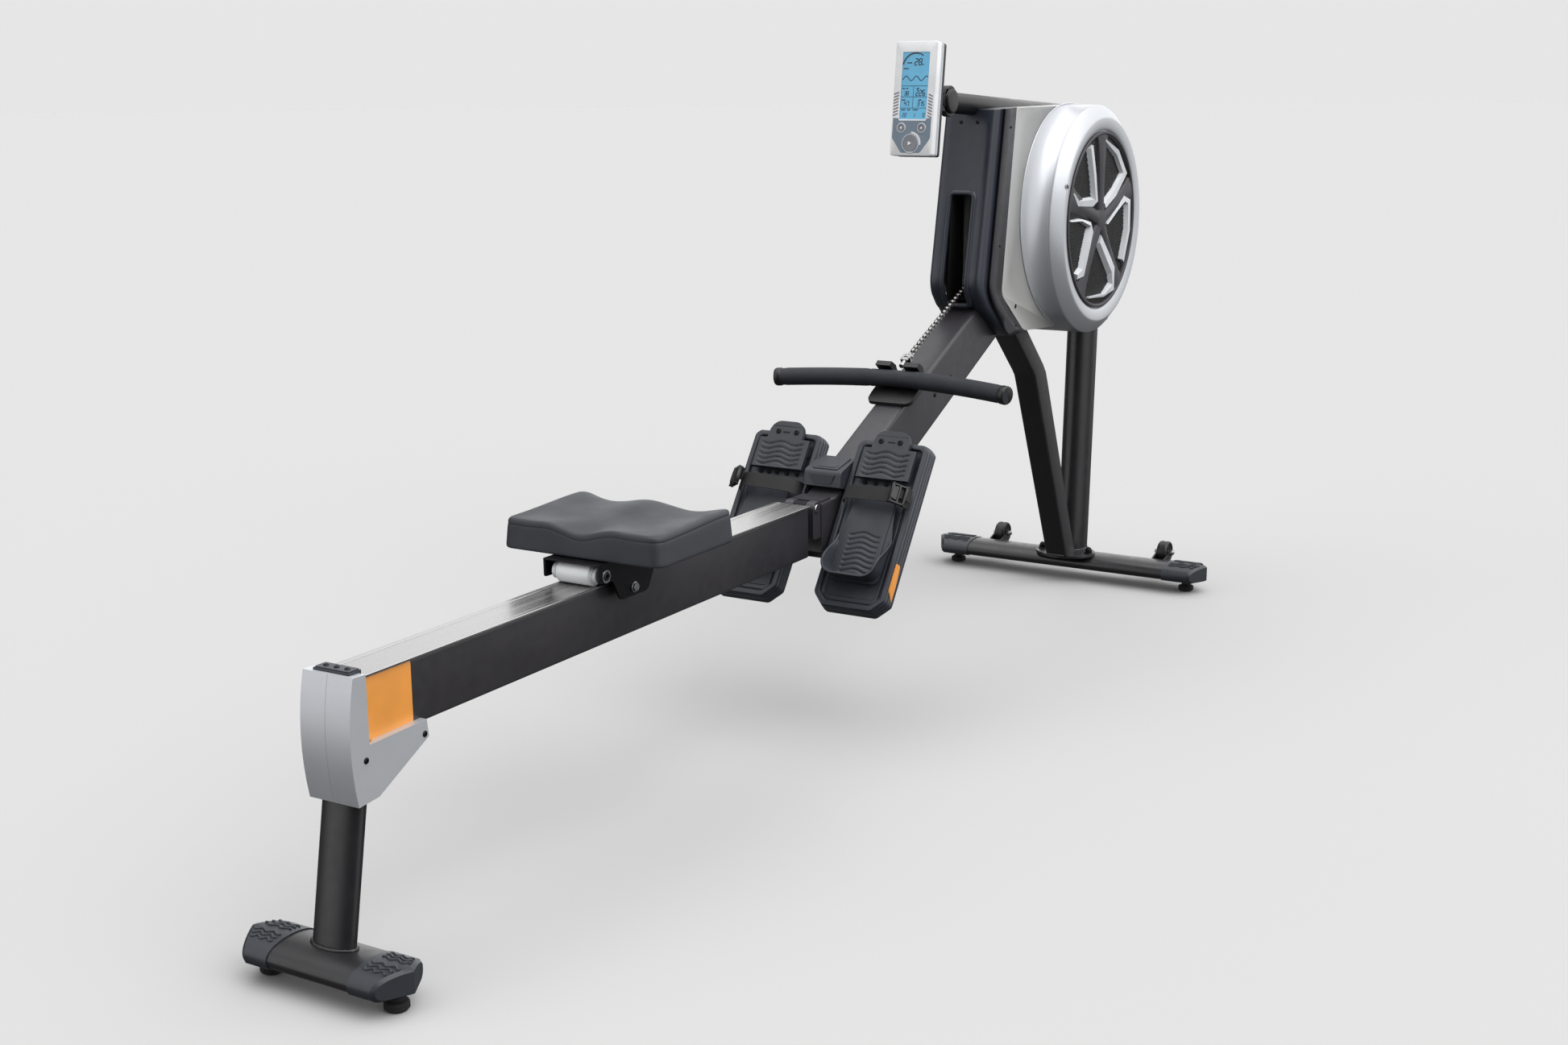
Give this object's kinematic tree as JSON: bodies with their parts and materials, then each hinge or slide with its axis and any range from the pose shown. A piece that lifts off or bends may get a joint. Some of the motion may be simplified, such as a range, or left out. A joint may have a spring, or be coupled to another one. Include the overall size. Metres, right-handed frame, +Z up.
{
  "type": "air rowing machine",
  "caption": "Folding air rower with a sliding contoured seat on a straight rail, footboards with straps, a pull handle on a chain, a drum-shaped fan housing and a tilting monitor.",
  "frame": {"origin": "centre of the bounding box on the floor plane", "axes": "+X forward from the rear foot to the flywheel, +Y to the rower's left, +Z up"},
  "size_m": [2.4495, 0.628, 1.1406],
  "materials": {
    "frame_paint": "satin charcoal powder coat",
    "rail_paint": "satin charcoal powder coat with an orange band at the rear",
    "dark_plastic": "fine-textured moulded plastic, dark blue-grey",
    "black_plastic": "moulded black plastic",
    "silver_plastic": "silver-painted moulded plastic, semi-gloss",
    "white_plastic": "white moulded plastic",
    "roller_nylon": "white nylon",
    "rubber": "black rubber",
    "grip": "dark foam rubber grip",
    "seat_foam": "moulded self-skinned polyurethane foam, charcoal",
    "stainless": "brushed stainless steel",
    "steel": "zinc-plated steel",
    "black_steel": "black-coated steel",
    "chain_steel": "oiled steel roller chain",
    "flywheel_metal": "cast and turned aluminium",
    "grille_plastic": "black moulded grille with a silver star inlay",
    "webbing": "woven polypropylene webbing",
    "lcd": "blue backlit segment display",
    "button_grey": "grey moulded buttons"
  },
  "bodies": {
    "frame": {"front_foot_tube": "frame_paint", "front_foot_cap_left": "dark_plastic", "front_foot_cap_right": "dark_plastic", "front_post": "frame_paint", "front_strut": "frame_paint", "main_beam": "frame_paint", "nose_cover": "dark_plastic", "hinge_pin": "stainless", "handle_cradle": "black_plastic", "footboard_left": "dark_plastic", "footboard_right": "dark_plastic", "toe_plate_left": "dark_plastic", "toe_plate_right": "dark_plastic", "foot_strap_left": "webbing", "foot_strap_right": "webbing", "strap_buckle_left": "black_plastic", "strap_buckle_right": "black_plastic", "shroud_front": "dark_plastic", "side_cover_left": "silver_plastic", "side_cover_right": "silver_plastic", "grille_left": "grille_plastic", "grille_right": "grille_plastic", "monitor_boom": "frame_paint", "drive_chain": "chain_steel", "return_cord": "rubber"},
    "rail": {"slide_rail": "rail_paint", "rail_track": "stainless", "rear_post": "frame_paint", "rear_top_block": "dark_plastic", "rear_housing_left": "silver_plastic", "rear_housing_right": "silver_plastic", "rail_hinge_bracket": "steel", "rear_foot_tube": "frame_paint", "rear_foot_cap_left": "dark_plastic", "rear_foot_cap_right": "dark_plastic"},
    "seat": {"seat_pad": "seat_foam", "seat_carriage": "black_steel"},
    "rear_roller": {"seat_roller_rear": "roller_nylon"},
    "front_roller": {"seat_roller_front": "roller_nylon"},
    "left_guide_roller": {"guide_roller_left": "roller_nylon"},
    "right_guide_roller": {"guide_roller_right": "roller_nylon"},
    "handle": {"handle_bar": "grip", "chain_swivel": "stainless"},
    "sprocket": {"drive_sprocket": "steel"},
    "flywheel": {"flywheel": "flywheel_metal"},
    "left_heel": {"heel_cup_left": "black_plastic"},
    "right_heel": {"heel_cup_right": "black_plastic"},
    "monitor": {"monitor_case": "white_plastic", "monitor_screen": "lcd"},
    "left_button": {"button_left": "button_grey"},
    "right_button": {"button_right": "button_grey"},
    "play_button": {"button_play": "button_grey"},
    "left_wheel": {"transport_wheel_left": "dark_plastic"},
    "right_wheel": {"transport_wheel_right": "dark_plastic"},
    "rear_left_pad": {"levelling_foot_rear_left": "rubber"},
    "rear_right_pad": {"levelling_foot_rear_right": "rubber"},
    "front_left_pad": {"levelling_foot_front_left": "rubber"},
    "front_right_pad": {"levelling_foot_front_right": "rubber"},
    "lock_pin": {"fold_lock_pin": "black_plastic"}
  },
  "joints": [
    {"name": "rail_fold", "type": "hinge", "parent": "frame", "child": "rail", "pos_m": [-0.038, 0, 0.382], "axis": [0, 1, 0], "range_deg": [0, 85]},
    {"name": "seat_slide", "type": "slide", "parent": "rail", "child": "seat", "axis": [1, 0, 0], "range_m": [-0.43, 0.315]},
    {"name": "rear_roller_spin", "type": "hinge", "parent": "seat", "child": "rear_roller", "pos_m": [-0.659, 0, 0.4096], "axis": [0, 1, 0], "range_deg": [-1550, 1140]},
    {"name": "front_roller_spin", "type": "hinge", "parent": "seat", "child": "front_roller", "pos_m": [-0.525, 0, 0.4096], "axis": [0, 1, 0], "range_deg": [-1550, 1140]},
    {"name": "left_guide_roller_spin", "type": "hinge", "parent": "seat", "child": "left_guide_roller", "pos_m": [-0.592, 0.0356, 0.3795], "axis": [0, 1, 0], "range_deg": [-2020, 2750]},
    {"name": "right_guide_roller_spin", "type": "hinge", "parent": "seat", "child": "right_guide_roller", "pos_m": [-0.592, -0.0356, 0.3795], "axis": [0, 1, 0], "range_deg": [-2020, 2750]},
    {"name": "handle_pull", "type": "slide", "parent": "frame", "child": "handle", "axis": [-0.9851, 0, 0.172], "range_m": [0, 1.094], "deforming": ["drive_chain"]},
    {"name": "sprocket_spin", "type": "hinge", "parent": "frame", "child": "sprocket", "pos_m": [0.972, 0, 0.792], "axis": [0, 1, 0], "range_deg": [-980, 10]},
    {"name": "flywheel_spin", "type": "hinge", "parent": "frame", "child": "flywheel", "pos_m": [0.972, 0, 0.792], "axis": [0, 1, 0], "continuous": true},
    {"name": "left_heel_slide", "type": "slide", "parent": "frame", "child": "left_heel", "axis": [0.5736, 0, 0.8192], "range_m": [-0.03, 0.03]},
    {"name": "right_heel_slide", "type": "slide", "parent": "frame", "child": "right_heel", "axis": [0.5736, 0, 0.8192], "range_m": [-0.03, 0.03]},
    {"name": "monitor_tilt", "type": "hinge", "parent": "frame", "child": "monitor", "pos_m": [0.44, 0, 1.036], "axis": [0, 1, 0], "range_deg": [-20, 20]},
    {"name": "left_button_press", "type": "slide", "parent": "monitor", "child": "left_button", "axis": [0.9912, 0, -0.1323], "range_m": [0, 0.0015], "stiffness_N_per_m": 600},
    {"name": "right_button_press", "type": "slide", "parent": "monitor", "child": "right_button", "axis": [0.9912, 0, -0.1323], "range_m": [0, 0.0015], "stiffness_N_per_m": 600},
    {"name": "play_button_press", "type": "slide", "parent": "monitor", "child": "play_button", "axis": [0.9912, 0, -0.1323], "range_m": [0, 0.0015], "stiffness_N_per_m": 600},
    {"name": "left_wheel_spin", "type": "hinge", "parent": "frame", "child": "left_wheel", "pos_m": [1.2, 0.193, 0.06], "axis": [0, 1, 0], "continuous": true},
    {"name": "right_wheel_spin", "type": "hinge", "parent": "frame", "child": "right_wheel", "pos_m": [1.2, -0.193, 0.06], "axis": [0, 1, 0], "continuous": true},
    {"name": "rear_left_pad_turn", "type": "hinge", "parent": "rail", "child": "rear_left_pad", "pos_m": [-1.18, 0.102, 0], "axis": [0, 0, 1], "range_deg": [-180, 180]},
    {"name": "rear_right_pad_turn", "type": "hinge", "parent": "rail", "child": "rear_right_pad", "pos_m": [-1.18, -0.102, 0], "axis": [0, 0, 1], "range_deg": [-180, 180]},
    {"name": "front_left_pad_turn", "type": "hinge", "parent": "frame", "child": "front_left_pad", "pos_m": [1.128, 0.269, 0], "axis": [0, 0, 1], "range_deg": [-180, 180]},
    {"name": "front_right_pad_turn", "type": "hinge", "parent": "frame", "child": "front_right_pad", "pos_m": [1.128, -0.269, 0], "axis": [0, 0, 1], "range_deg": [-180, 180]},
    {"name": "lock_pin_pull", "type": "slide", "parent": "frame", "child": "lock_pin", "axis": [0, 1, 0], "range_m": [0, 0.01], "stiffness_N_per_m": 900}
  ],
  "couplings": [
    {"joint": "rear_roller_spin", "follows": "seat_slide", "rad_per_m": 62.5},
    {"joint": "front_roller_spin", "follows": "seat_slide", "rad_per_m": 62.5},
    {"joint": "left_guide_roller_spin", "follows": "seat_slide", "rad_per_m": -111.11},
    {"joint": "right_guide_roller_spin", "follows": "seat_slide", "rad_per_m": -111.11},
    {"joint": "sprocket_spin", "follows": "handle_pull", "rad_per_m": -15.436}
  ]
}
